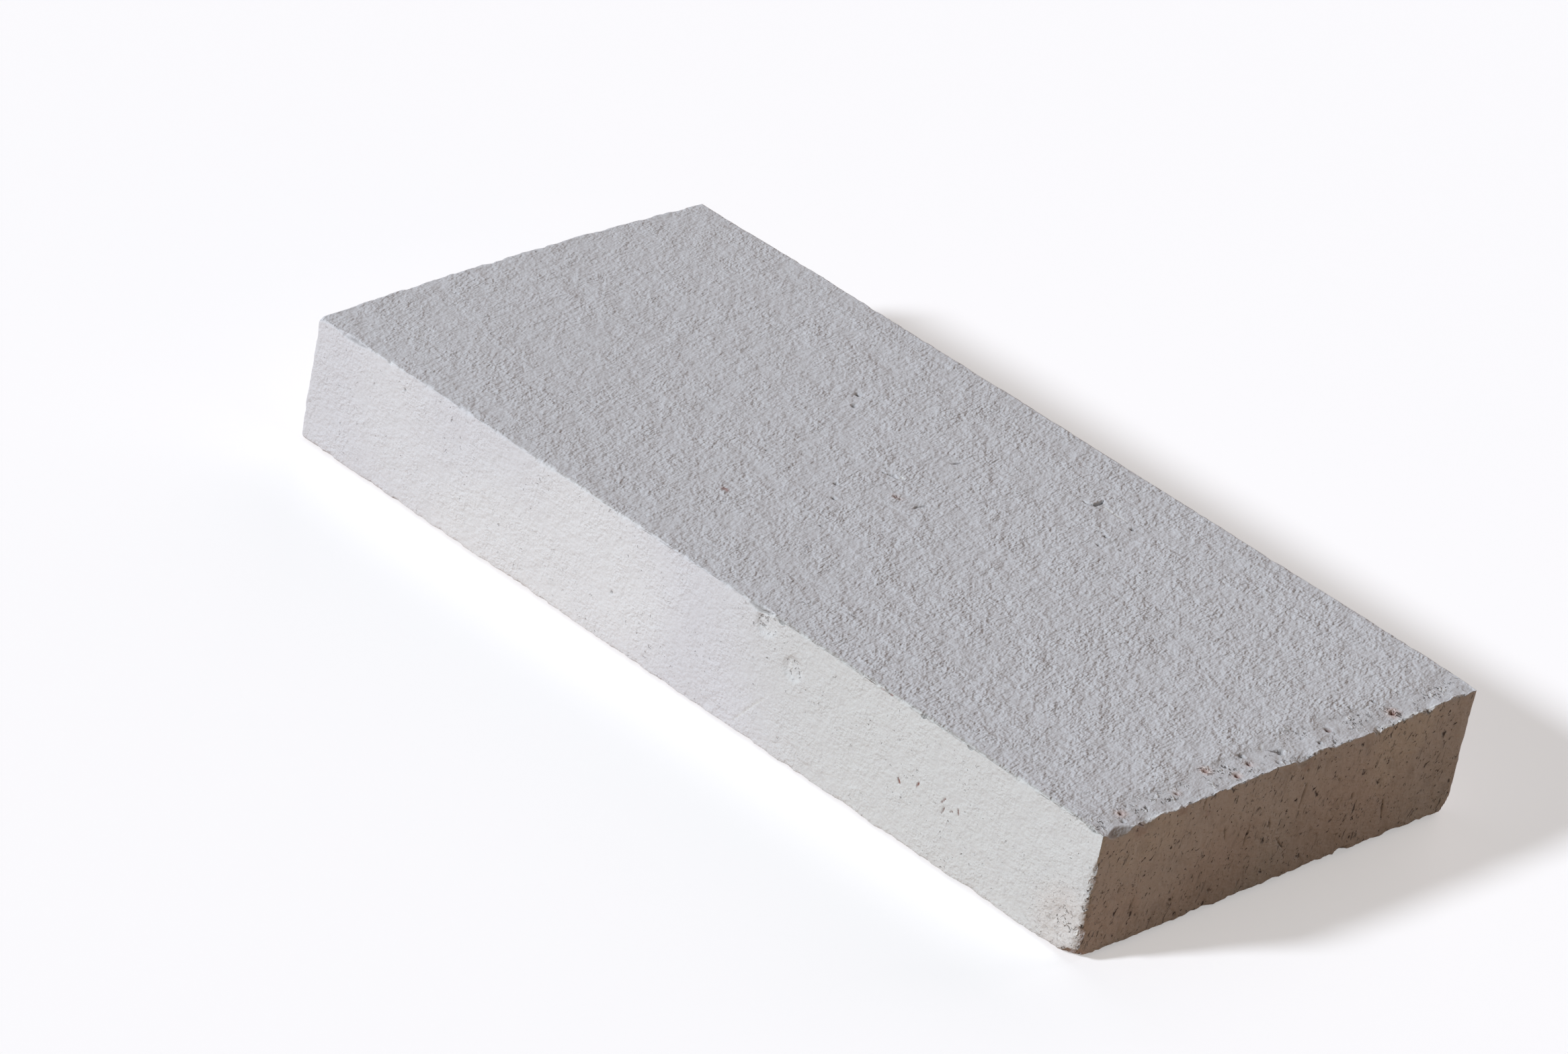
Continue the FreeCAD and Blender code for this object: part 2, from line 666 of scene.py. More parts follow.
@dataclass(frozen=True)
class FiredClay:
    """Refractory fireclay, dry-pressed in a mould and fired without a glaze.

    To the eye it is pale, dead matt and chalky. The large faces are peened by the sand of the
    mould, the sides are smoother, and the ends are torn into fine upright cracks. A faint blush and
    a few rusty specks come from iron in the clay. The dark of its holes and cracks is painted shade,
    with some brown dirt, and the near end is painted darker towards its foot as shade.
    """

    body: str = "#DEDFE0"
    # The blush comes from iron in the clay, and is also painted as shade along the foot of the near end.
    blush: str = "#DFC5BA"
    # A greenish grey, which tints the near half of the front a little darker.
    drab: str = "#C8CFB2"
    grog: str = "#C6C4C2"
    # The dark of holes, cracks and fine marks: painted shade in them, with some brown dirt, and painted
    # shade at the foot of the near end.
    shade_and_dirt: str = "#463B33"
    rust: str = "#8A4A32"
    # The pale of scratches, burrs and crumbs, also painted as light on the front and at the top of the near
    # end.
    pale: str = "#F2F3EC"
    roughness: float = 0.92
    ior: float = 1.5
    gloss: float = 0.25

    # Each colour's share where its mask is full.
    cloud_share: float = 0.12
    blush_share: float = 0.8
    drab_share: float = 1.0
    grog_share: float = 0.35
    crumb_share: float = 0.5
    pale_share: float = 0.8
    crack_share: float = 0.95
    shade_and_dirt_share: float = 0.72
    rust_share: float = 0.85

    # Patterns of the colour: wide clouds, grains of grog, and the patches that hold pinholes.
    clouds: Pattern = Pattern((30.0, 30.0, 30.0), 3.0, (0.35, 0.75))
    grains_of_grog: Pattern = Pattern((0.9, 0.9, 0.9), 2.0, (0.45, 0.8))
    patches: Pattern = Pattern((14.0, 14.0, 14.0), 2.0, (0.35, 0.65))

    # Patterns of the relief. Finer sand would not show, so it is drawn as coarse as this.
    clumps: Pattern = Pattern((7.0, 7.0, 7.0), 2.0, (0.3, 0.7))
    lumps: Pattern = Pattern((3.0, 5.25, 3.0), 2.0, harshness=0.6, turn=(0.0, 0.0, 12.0))
    grain: Pattern = Pattern((0.8, 1.4, 0.8), 1.0, harshness=0.7, turn=(0.0, 0.0, 12.0))
    sand: Pattern = Pattern((0.45, 0.45, 0.45), 1.0, (0.2, 0.8))
    crumbs: Pattern = Pattern((1.5, 1.5, 1.5), 1.0, (0.40, 0.30))

    # Depths of the relief, from the deepest to the highest of each pattern.
    lump_depth: float = 0.8
    grain_depth: float = 0.5
    sand_depth: float = 0.035
    crumb_depth: float = 0.22
    crack_depth: float = 0.30

    # The grain is weaker and stronger by clumps, and all of it is weaker off the large faces.
    clump_shares: tuple[float, float] = (0.5, 1.5)
    side_share: float = 0.45

    # Pinholes, dents across the large faces, tears and dots on the ends, and holes among crumbs. Their dark
    # is painted shade in them, with some brown dirt on the ends.
    flecks: tuple[Fleck, ...] = (
        Fleck("patchy", (1.1, 1.1, 1.1), 0.655, 0.55),
        Fleck("peened", (0.6, 2.2, 0.6), 0.72, 0.4),
        Fleck("streaky", (1.0, 1.0, 3.4), 0.625, 0.95, lean=11.0),
        Fleck("torn", (1.9, 1.9, 2.3), 0.64, 0.95, lean=11.0, edge=0.10),
        Fleck("torn", (1.0, 1.0, 1.1), 0.66, 1.0),
        Fleck("torn", (0.8, 1.7, 1.0), 0.67, 1.0, lean=-35.0),
        Fleck("torn", (4.0, 4.0, 5.0), 0.52, 0.2, edge=0.20),
        Fleck("crumbly", (1.1, 1.1, 1.1), 0.575, 0.9),
    )

    def material(self) -> bpy.types.Material:
        """Make the material.

        Returns:
            The material, which reads Object coordinates and the slab's own attributes.
        """
        material = bpy.data.materials.new("fired_clay_unglazed")
        material.use_nodes = True
        tree = material.node_tree
        tree.nodes.clear()
        place = add_node(tree, "ShaderNodeTexCoord").outputs["Object"]
        masks = self._masks(tree, place)
        bump = add_node(
            tree,
            "ShaderNodeBump",
            {
                "Strength": 1.0,
                "Distance": MM,
                "Height": self._height(tree, place, masks),
            },
        )
        shader = add_node(
            tree,
            "ShaderNodeBsdfPrincipled",
            {
                "Base Color": self._colour(tree, masks),
                "Roughness": self.roughness,
                "IOR": self.ior,
                "Specular IOR Level": self.gloss,
                "Normal": bump.outputs["Normal"],
            },
        )
        add_node(tree, "ShaderNodeOutputMaterial", {"Surface": shader.outputs["BSDF"]})
        return material

    def _masks(
        self, tree: bpy.types.NodeTree, place: bpy.types.NodeSocket
    ) -> dict[str, bpy.types.NodeSocket]:
        """Gather the slab's own shares, and draw the patterns that tell where the rest goes.

        Args:
            tree: the node tree.
            place: the coordinates.

        Returns:
            The masks by name.
        """
        masks = {
            name: add_node(tree, "ShaderNodeAttribute", attribute_name=name).outputs["Fac"]
            for name in ATTRIBUTES
        }
        masks["clouds"] = self.clouds.draw(tree, place)
        masks["grog"] = self.grains_of_grog.draw(tree, place)
        masks["patchy"] = self.patches.draw(tree, place)
        masks["scattered"] = self.crumbs.draw(tree, place)
        for name, first, second in (
            ("streaky", "patchy", "torn"),
            ("crumbs", "scattered", "crumbly"),
        ):
            both = add_node(
                tree, "ShaderNodeMath", {0: masks[first], 1: masks[second]}, operation="MULTIPLY"
            )
            masks[name] = both.outputs[0]
        cracks: Any = 0.0
        for fleck in self.flecks:
            drawn = fleck.pattern.draw(tree, place)
            shown = add_node(
                tree, "ShaderNodeMath", {0: drawn, 1: masks[fleck.mask]}, operation="MULTIPLY"
            )
            darker = add_node(
                tree, "ShaderNodeMath", {0: cracks, 1: shown.outputs[0]}, operation="MAXIMUM"
            )
            cracks = darker.outputs[0]
        masks["cracks"] = cracks
        return masks

    def _height(
        self,
        tree: bpy.types.NodeTree,
        place: bpy.types.NodeSocket,
        masks: dict[str, bpy.types.NodeSocket],
    ) -> bpy.types.NodeSocket:
        """Add up the fine relief that the mesh is too coarse for.

        Args:
            tree: the node tree.
            place: the coordinates.
            masks: the masks of the faces and of the fine marks.

        Returns:
            The height in millimetres.
        """
        weaker, stronger = self.clump_shares
        clumped = add_node(
            tree,
            "ShaderNodeMapRange",
            {"Value": self.clumps.draw(tree, place), "To Min": weaker, "To Max": stronger},
        )
        gathered = add_node(
            tree,
            "ShaderNodeMath",
            {0: self.grain.draw(tree, place), 1: clumped.outputs["Result"]},
            operation="MULTIPLY",
        )
        height: Any = 0.0
        for pattern, depth in (
            (self.lumps.draw(tree, place), self.lump_depth),
            (gathered.outputs[0], self.grain_depth),
            (self.sand.draw(tree, place), self.sand_depth),
        ):
            added = add_node(
                tree, "ShaderNodeMath", {0: pattern, 1: depth, 2: height}, operation="MULTIPLY_ADD"
            )
            height = added.outputs[0]
        share = add_node(
            tree,
            "ShaderNodeMapRange",
            {"Value": masks["peened"], "To Min": self.side_share, "To Max": 1.0},
        )
        shared = add_node(
            tree, "ShaderNodeMath", {0: height, 1: share.outputs["Result"]}, operation="MULTIPLY"
        )
        height = shared.outputs[0]
        for mark, depth in (("cracks", -self.crack_depth), ("crumbs", self.crumb_depth)):
            added = add_node(
                tree, "ShaderNodeMath", {0: masks[mark], 1: depth, 2: height}, operation="MULTIPLY_ADD"
            )
            height = added.outputs[0]
        return height

    def _colour(
        self, tree: bpy.types.NodeTree, masks: dict[str, bpy.types.NodeSocket]
    ) -> bpy.types.NodeSocket:
        """Mix the clay's colours over the slab, each over the ones before.

        Args:
            tree: the node tree.
            masks: the masks of the fine marks, and of the slab's own marks, stains and painted light and
                shade.

        Returns:
            The colour.
        """
        colour: Any = linear(self.body)
        for mask, share, paint in (
            ("clouds", self.cloud_share, self.grog),
            # The blush, also painted as shade along the foot of the near end.
            ("blush", self.blush_share, self.blush),
            ("drab", self.drab_share, self.drab),
            ("grog", self.grog_share, self.grog),
            ("crumbs", self.crumb_share, self.pale),
            # Pale marks, and painted light on the front and at the top of the near end.
            ("pale", self.pale_share, self.pale),
            # Painted shade, with some brown dirt, in the fine marks and in the hollows of pits, grooves and
            # chips.
            ("cracks", self.crack_share, self.shade_and_dirt),
            ("shade_and_dirt", self.shade_and_dirt_share, self.shade_and_dirt),
            ("rust", self.rust_share, self.rust),
        ):
            factor = add_node(tree, "ShaderNodeMath", {0: masks[mask], 1: share}, operation="MULTIPLY")
            mixed = add_node(
                tree,
                "ShaderNodeMix",
                {0: factor.outputs[0], 6: colour, 7: linear(paint)},
                data_type="RGBA",
            )
            colour = mixed.outputs[2]
        return colour


@dataclass(frozen=True)
class Firebrick:
    """The slab: its grid, its worn arrises and faces, its marks and its finish."""

    block: Block
    finish: FiredClay

    # The grid is ruled coarse all over, and then finer everywhere but on the hidden bed face.
    coarse_cell: float = 2.6
    fine_cuts: int = 2
    bed_margin: float = 6.0

    # Grid lines within the zone are drawn closer to the arris, to this share of their distance.
    crowded_zone: float = 6.0
    crowding: float = 0.5

    # Cells this near to the three arrises in full view are halved.
    arris_margin: float = 0.9

    # How round the arrises are worn. Each one's own wear holds within its core, and fades to its reach.
    top_arris: float = 0.32
    bed_arris: float = 1.0
    upright_arris: float = 0.7
    least_arris: float = 0.2
    arris_core: float = 1.25
    arris_reach: float = 5.0

    # The front upright arris of the near end is worn rounder towards its foot.
    foot_arris: float = 2.6
    foot_reach: float = 22.0

    # How ragged the arrises are: along the slab, round its two ends, on the back side and on the bed.
    long_raggedness: float = 0.8
    near_raggedness: float = 1.2
    far_raggedness: float = 0.4
    back_raggedness: float = 0.25
    bed_raggedness: float = 0.5

    # What makes them ragged: shares of the rounding, and then bites and nibbles added to it.
    arris_swells: tuple[Ripple, ...] = (Ripple(8.0, 0.6), Ripple(2.2, 0.9, layer=1))
    arris_bites: Ripple = Ripple(4.5, 2.4, layer=2)
    arris_bite_start: float = 0.24
    arris_nibbles: Ripple = Ripple(1.5, 1.6, layer=15)

    # The top dips in waves along the near end, by up to about this much, and from this far in.
    near_dip: float = 0.9
    dip_reach: float = 5.0
    dip_mean: float = 0.5
    dip_waves: Ripple = Ripple(8.0, octaves=3, layer=11)

    # A crumbly, paler burr stands in patches along the top arris of the near end, and fades inwards.
    burr_height: float = 0.28
    burr_fade: tuple[float, float] = (0.88, 0.44)
    burr_patches: tuple[Ripple, ...] = (Ripple(6.0, layer=13), Ripple(1.2, 0.9, layer=14))
    burr_rise: float = 0.4
    burr_paleness: float = 0.4

    # The far end stands out between its corners, and higher, over this length of the slab.
    far_bow: float = 0.8
    far_crown: float = 0.6
    far_bow_length: float = 40.0

    # The mould's edge pressed a strip beside the near end smooth. The strip fades inwards, and its
    # edge wanders.
    strip_fade: tuple[float, float] = (9.5, 5.0)
    strip_edge: Ripple = Ripple(6.0, 2.5, layer=9)

    # The peening is this much weaker on the strip and at the far end, and returns over this length.
    strip_calm: float = 0.95
    far_calm: float = 0.5
    far_calm_length: float = 195.5

    # Where it crumbles: in loose patches on the strip, round the near end, and along the long arrises.
    loose_patches: Ripple = Ripple(5.0, layer=10)
    loose_levels: tuple[float, float] = (-0.1, 0.4)
    near_crumble: float = 4.0
    long_crumble: float = 0.7

    # How uneven each kind of face is, by its swells and its grain, where the surface looks its way.
    least_look: float = 0.01
    ends: tuple[Ripple, ...] = (Ripple(9.0, 0.30, layer=3), Ripple(2.8, 0.16, layer=23))
    long_sides: tuple[Ripple, ...] = (Ripple(24.0, 0.30, layer=4), Ripple(4.5, 0.06, layer=24))
    large_faces: tuple[Ripple, ...] = (Ripple(12.0, 0.26, layer=5), Ripple(4.0, 0.16, layer=25))
    strip_lumps: tuple[Ripple, ...] = (Ripple(7.0, 0.3, layer=9), Ripple(2.6, 0.3, layer=29))

    corner_breaks: tuple[CornerBreak, ...] = (
        CornerBreak((Face.FAR_END, Face.FRONT, Face.TOP), (6.0, 3.0, 2.2)),
        CornerBreak((Face.NEAR_END, Face.FRONT, Face.BED), (5.5, 4.5, 4.0), blush=0.4),
        CornerBreak((Face.NEAR_END, Face.BACK, Face.BED), (3.0, 2.8, 4.2), blush=0.2),
    )
    bites: tuple[Bite, ...] = (
        Bite((Face.TOP, Face.FRONT), -103.5, 17.0, 1.2),
        Bite((Face.TOP, Face.FRONT), -107.5, 2.6, 0.9),
        Bite((Face.TOP, Face.FRONT), -94.7, 2.0, 0.6),
        Bite((Face.TOP, Face.FRONT), -51.1, 9.0, 0.5),
        Bite((Face.TOP, Face.FRONT), -11.5, 12.0, 0.6),
        Bite((Face.TOP, Face.FRONT), 19.2, 10.0, 1.0),
        Bite((Face.TOP, Face.FRONT), 25.1, 2.4, 0.9),
        Bite((Face.TOP, Face.FRONT), 53.6, 2.0, 0.8, stain=0.9),
        Bite((Face.TOP, Face.FRONT), 56.1, 1.8, 0.7, stain=0.9),
        Bite((Face.TOP, Face.FRONT), 65.2, 2.0, 0.9),
        Bite((Face.TOP, Face.FRONT), 78.4, 2.0, 0.9),
        Bite((Face.TOP, Face.FRONT), 111.9, 5.0, 1.1),
        Bite((Face.TOP, Face.NEAR_END), 53.8, 6.0, 0.9),
        Bite((Face.TOP, Face.NEAR_END), 42.4, 4.5, 0.9),
        Bite((Face.TOP, Face.NEAR_END), 26.9, 2.2, 0.9, stain=0.4),
        Bite((Face.TOP, Face.NEAR_END), 24.2, 9.0, 0.8),
        Bite((Face.TOP, Face.NEAR_END), -3.5, 12.0, 0.7),
        Bite((Face.TOP, Face.NEAR_END), -21.3, 3.4, 0.8),
        Bite((Face.TOP, Face.NEAR_END), -36.2, 8.0, 0.7),
        Bite((Face.TOP, Face.NEAR_END), -52.0, 11.0, 1.9),
        Bite((Face.FRONT, Face.NEAR_END), 21.7, 4.5, 0.9),
        Bite((Face.FRONT, Face.NEAR_END), 19.1, 2.0, 0.7),
        Bite((Face.FRONT, Face.NEAR_END), 13.3, 2.2, 0.7),
        Bite((Face.BED, Face.NEAR_END), 23.4, 5.5, 1.7),
        Bite((Face.BED, Face.NEAR_END), 14.6, 4.0, 1.2),
        Bite((Face.BED, Face.NEAR_END), 2.9, 3.6, 1.1),
        Bite((Face.BED, Face.NEAR_END), 40.6, 6.0, 1.0),
    )
    pits: tuple[Pit, ...] = (
        Pit(Face.TOP, -34.7, 26.3, 1.7, 1.0),
        Pit(Face.TOP, -31.8, 21.7, 1.5, 0.7),
        Pit(Face.TOP, -8.3, 6.7, 1.3, 0.7),
        Pit(Face.TOP, 0.1, 1.8, 1.1, 0.4, stain=0.6, blush=0.4),
        Pit(Face.TOP, 1.3, 1.9, 0.9, 0.3, stain=0.5, blush=0.3),
        Pit(Face.TOP, 34.1, 38.7, 1.7, 0.5),
        Pit(Face.TOP, 33.6, 31.1, 1.4, 0.8),
        Pit(Face.TOP, 35.1, 27.1, 1.4, 0.8),
        Pit(Face.TOP, 39.0, 29.8, 1.3, 0.4),
        Pit(Face.TOP, -27.0, -9.6, 1.0, 0.5),
        Pit(Face.TOP, -5.6, -11.1, 1.4, 0.8),
        Pit(Face.TOP, -9.8, -6.2, 1.5, 0.7),
        Pit(Face.TOP, 1.2, -21.8, 1.1, 0.5),
        Pit(Face.TOP, 5.9, -30.8, 1.0, 0.5),
        Pit(Face.TOP, 110.4, -47.4, 1.6, 0.7, stain=0.6, blush=0.7),
        Pit(Face.TOP, 112.6, -48.9, 1.6, 0.5),
        Pit(Face.TOP, 111.0, -31.5, 1.4, 0.6, stain=0.8, blush=0.3),
        Pit(Face.TOP, 108.1, -19.8, 1.7, 0.8, stain=0.8, blush=0.8),
        Pit(Face.TOP, 112.2, -14.7, 1.3, 0.6, stain=0.7, blush=0.6),
        Pit(Face.TOP, 110.7, -9.4, 1.5, 0.7, stain=0.7, blush=0.3),
        Pit(Face.TOP, 107.9, -8.5, 2.2, 0.7),
        Pit(Face.TOP, 113.0, -2.8, 1.6, 0.5),
        Pit(Face.TOP, 110.6, 0.0, 2.4, 0.6),
        Pit(Face.TOP, 109.3, 8.2, 1.3, 0.5),
        Pit(Face.TOP, 112.3, 10.5, 1.3, 0.5),
        Pit(Face.TOP, 109.7, 15.9, 2.0, 0.6, stain=0.4),
        Pit(Face.TOP, 106.3, 26.6, 1.2, 0.5),
        Pit(Face.TOP, 107.1, 33.1, 1.3, 0.6),
        Pit(Face.TOP, 111.8, 33.9, 2.0, 0.9, stain=0.8, blush=0.8),
        Pit(Face.TOP, -106.0, 8.3, 2.6, -0.4),
        Pit(Face.FRONT, 21.5, 27.4, 6.0, 0.5, wall=0.25, crumbled=0.5),
        Pit(Face.FRONT, 30.3, 21.5, 5.6, 0.5, wall=0.25, crumbled=0.5),
        Pit(Face.FRONT, -20.4, 12.1, 0.9, 0.4),
        Pit(Face.FRONT, 8.5, 12.0, 0.9, 0.4),
        Pit(Face.FRONT, 19.8, 18.3, 0.9, 0.4),
        Pit(Face.FRONT, -86.5, 25.8, 1.0, 0.25),
        Pit(Face.FRONT, 110.0, 7.1, 9.0, 0.35, wall=0.6, blush=0.25, crumbled=0.7),
        Pit(Face.NEAR_END, -35.6, 17.3, 1.0, 0.4),
        Pit(Face.NEAR_END, -30.4, 6.2, 1.0, 0.4),
        Pit(Face.NEAR_END, -18.4, 4.7, 1.0, 0.4),
        Pit(Face.NEAR_END, 5.4, 25.8, 1.0, 0.4),
        Pit(Face.NEAR_END, 13.8, 7.9, 1.0, 0.4),
        Pit(Face.NEAR_END, 16.9, 20.2, 1.0, 0.4),
        Pit(Face.NEAR_END, 20.5, 5.8, 1.0, 0.4),
    )
    grooves: tuple[Groove, ...] = (
        Groove(Face.TOP, ((20.9, 37.7), (22.2, 37.9), (23.1, 38.9), (23.2, 40.4), (22.6, 42.2)), 1.3, 1.2),
        Groove(Face.TOP, ((24.0, 40.2), (28.6, 40.0), (31.4, 40.1)), 0.9, 0.1, pale=0.9),
        Groove(Face.TOP, ((-7.2, 7.1), (-6.2, 7.9), (-5.2, 7.5)), 1.6, 1.2),
        Groove(Face.TOP, ((-5.6, 8.8), (-4.3, 8.9)), 1.3, 0.1, pale=1.0),
        Groove(Face.TOP, ((5.6, 1.2), (5.4, 3.0), (5.8, 4.9)), 0.8, 0.45),
        Groove(Face.TOP, ((-3.9, 22.9), (-3.3, 25.4)), 0.8, 0.45),
        Groove(Face.TOP, ((105.7, 40.4), (107.4, 40.3)), 0.6, 0.1, pale=0.8),
        Groove(Face.TOP, ((104.7, 8.0), (106.6, 7.3)), 0.6, 0.1, pale=0.8),
        Groove(Face.TOP, ((106.8, -1.6), (108.8, -3.4)), 0.6, 0.1, pale=0.8),
        Groove(Face.FRONT, ((17.6, 2.2), (22.3, 8.5), (25.6, 12.5)), 0.7, 0.1, pale=0.8),
        Groove(Face.FRONT, ((62.4, 13.6), (63.1, 12.6)), 0.7, 0.25, stain=1.0),
        Groove(Face.FRONT, ((67.3, 14.2), (67.9, 15.7)), 0.7, 0.25, stain=1.0),
        Groove(Face.FRONT, ((74.4, 14.7), (75.2, 15.9)), 0.6, 0.25, stain=0.7),
        Groove(Face.FRONT, ((75.0, 12.5), (75.4, 13.9)), 0.6, 0.25, stain=0.5),
        Groove(Face.FRONT, ((77.0, 13.9), (77.8, 14.3)), 0.6, 0.25, stain=0.5),
        Groove(Face.FRONT, ((79.2, 14.3), (78.8, 15.5)), 0.6, 0.25, stain=0.8),
        Groove(Face.NEAR_END, ((6.0, 22.7), (5.7, 19.7), (5.3, 16.8)), 0.7, 0.5),
        Groove(Face.NEAR_END, ((-9.8, 17.5), (-10.5, 12.5)), 0.7, 0.5),
        Groove(Face.NEAR_END, ((-3.8, 17.2), (-2.8, 14.2)), 0.7, 0.4),
        Groove(Face.NEAR_END, ((-18.2, 20.0), (-17.2, 16.3)), 0.6, 0.4),
        Groove(Face.NEAR_END, ((33.9, 10.1), (34.9, 5.2)), 0.7, 0.4),
        Groove(Face.NEAR_END, ((22.7, 15.2), (22.9, 13.6)), 0.8, 0.5),
        Groove(Face.NEAR_END, ((0.1, 11.3), (3.2, 7.9)), 0.6, 0.4),
        Groove(Face.NEAR_END, ((-26.5, 28.8), (-26.7, 26.5)), 0.6, 0.4),
        Groove(Face.NEAR_END, ((-42.6, 10.3), (-43.4, 7.2)), 0.6, 0.4),
        Groove(Face.NEAR_END, ((-47.8, 15.0), (-48.2, 13.5)), 0.7, 0.4),
    )
    stains_and_painted_light: tuple[StainOrPaintedLight, ...] = (
        StainOrPaintedLight(Face.TOP, -19.4, -29.4, 1.7, rust=1.0),
        # A greenish-grey tint that makes the near half of the front a little darker.
        StainOrPaintedLight(Face.FRONT, 85.0, 12.0, 150.0, drab=0.2),
        # Painted light: a paler patch on the front's far half, as light thrown back from below.
        StainOrPaintedLight(Face.FRONT, -50.0, 8.0, 80.0, pale=0.42),
        # The near end is painted pinker and darker towards its foot as painted shade, and paler towards its
        # top corners as painted light.
        StainOrPaintedLight(Face.NEAR_END, 18.6, 0.9, 44.0, blush=0.25),
        StainOrPaintedLight(Face.NEAR_END, -21.1, 1.1, 36.0, blush=0.25),
        StainOrPaintedLight(Face.NEAR_END, -14.0, 4.0, 26.0, shade_and_dirt=0.12),
        StainOrPaintedLight(Face.NEAR_END, 8.0, 4.0, 26.0, shade_and_dirt=0.1),
        StainOrPaintedLight(Face.NEAR_END, 36.0, 26.0, 24.0, pale=0.5),
        StainOrPaintedLight(Face.NEAR_END, -42.0, 26.0, 20.0, pale=0.35),
        StainOrPaintedLight(Face.NEAR_END, -45.4, 27.3, 4.0, rust=0.3),
        StainOrPaintedLight(Face.NEAR_END, -33.3, 28.3, 3.0, rust=0.25),
        StainOrPaintedLight(Face.NEAR_END, -24.7, 25.0, 2.6, rust=0.25),
        StainOrPaintedLight(Face.NEAR_END, 5.0, 27.0, 2.6, rust=0.25),
    )

    @property
    def marks(self) -> tuple[Mark, ...]:
        """All the marks, in the order that they are cut in."""
        return (*self.corner_breaks, *self.bites, *self.pits, *self.grooves, *self.stains_and_painted_light)

    def build(self) -> bpy.types.Object:
        """Make the slab's mesh, finish and object, and tie it to the model.

        Returns:
            The finished piece.
        """
        bm = self._ruled_slab()
        self._crowd_lines(bm)
        self._refine(bm)
        clay = Clay(bm)
        self._wear(clay)
        clay.settle()
        for mark in self.marks:
            mark.cut(self.block, clay)
        self._keep_in_block(bm)
        for face in bm.faces:
            face.smooth = True
        mesh = bpy.data.meshes.new("fired_slab")
        bm.to_mesh(mesh)
        bm.free()
        mesh.materials.append(self.finish.material())
        piece = bpy.data.objects.new("fired_slab", mesh)
        bpy.context.scene.collection.objects.link(piece)
        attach(piece, BODY)
        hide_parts(NODE)
        log.info("fired_slab: %d vertices, %d faces", len(mesh.vertices), len(mesh.polygons))
        return piece

    def _ruled_slab(self) -> bmesh.types.BMesh:
        """Start from a cube of the block's size and rule it into a grid of near-square cells.

        Returns:
            The ruled mesh.
        """
        bm = bmesh.new()
        spread = Matrix.Translation(self.block.centre) @ Matrix.Diagonal((*self.block.size, 1.0))
        bmesh.ops.create_cube(bm, size=1.0, matrix=spread)
        for axis in range(3):
            cells = round(self.block.size[axis] / (self.coarse_cell * MM))
            along = [edge for edge in bm.edges if self._runs_along(edge, axis)]
            bmesh.ops.subdivide_edges(bm, edges=along, cuts=cells - 1, use_grid_fill=True)
        shown = [edge for edge in bm.edges if not all(map(self._is_plain_bed, edge.link_faces))]
        bmesh.ops.subdivide_edges(bm, edges=shown, cuts=self.fine_cuts, use_grid_fill=True)
        return bm

    @staticmethod
    def _runs_along(edge: bmesh.types.BMEdge, axis: int) -> bool:
        """Tell whether an edge runs along an axis, more than across it."""
        start, end = (vert.co for vert in edge.verts)
        return abs(end[axis] - start[axis]) > 0.5 * (end - start).length

    def _is_plain_bed(self, face: bmesh.types.BMFace) -> bool:
        """Tell whether a face lies on the bed, away from its arrises.

        Args:
            face: a face of the mesh.

        Returns:
            Whether it looks down and has its middle well inside the bed.
        """
        middle = face.calc_center_median()
        low, high, margin = self.block.low, self.block.high, self.bed_margin * MM
        inside = all(low[axis] + margin < middle[axis] < high[axis] - margin for axis in (0, 1))
        return inside and face.normal.z < -0.5

    def _crowd_lines(self, bm: bmesh.types.BMesh) -> None:
        """Draw the grid's lines closer together beside the arrises, where the wear is fine.

        Args:
            bm: the ruled mesh.
        """
        zone = self.crowded_zone * MM
        kept = zone * self.crowding
        for vert in bm.verts:
            for axis in range(3):
                half = self.block.size[axis] / 2
                offset = vert.co[axis] - self.block.centre[axis]
                inset = half - abs(offset)
                if inset < zone:
                    inset *= self.crowding
                else:
                    inset = kept + (inset - zone) * (half - kept) / (half - zone)
                vert.co[axis] = self.block.centre[axis] + math.copysign(half - inset, offset)

    def _fine_zones(self) -> list[FineZone]:
        """List where the grid is finer: at the small marks, and along the three arrises in full view.

        Returns:
            The zones.
        """
        zones = [zone for mark in self.marks for zone in mark.fine_zones(self.block)]
        for faces, axis in (
            ((Face.TOP, Face.FRONT), 0),
            ((Face.TOP, Face.NEAR_END), 1),
            ((Face.FRONT, Face.NEAR_END), 2),
        ):
            start, end = (round(corner[axis] / MM) for corner in (self.block.low, self.block.high))
            for along in range(start, end + 1):
                zones.append(FineZone(self.block.on_arris(faces, along), self.arris_margin, 1))
        return zones

    def _refine(self, bm: bmesh.types.BMesh) -> None:
        """Halve the grid's cells once or twice in each zone that is finer.

        Args:
            bm: the ruled mesh.
        """
        zones = self._fine_zones()
        for halving in (1, 2):
            edges = list(bm.edges)
            tree = KDTree(len(edges))
            for index, edge in enumerate(edges):
                tree.insert((edge.verts[0].co + edge.verts[1].co) / 2, index)
            tree.balance()
            chosen = {
                index
                for zone in zones
                if zone.halvings >= halving
                for _, index, _ in tree.find_range(zone.place, zone.reach * MM)
            }
            halved = [edges[index] for index in sorted(chosen)]
            bmesh.ops.subdivide_edges(bm, edges=halved, cuts=1, use_grid_fill=True)

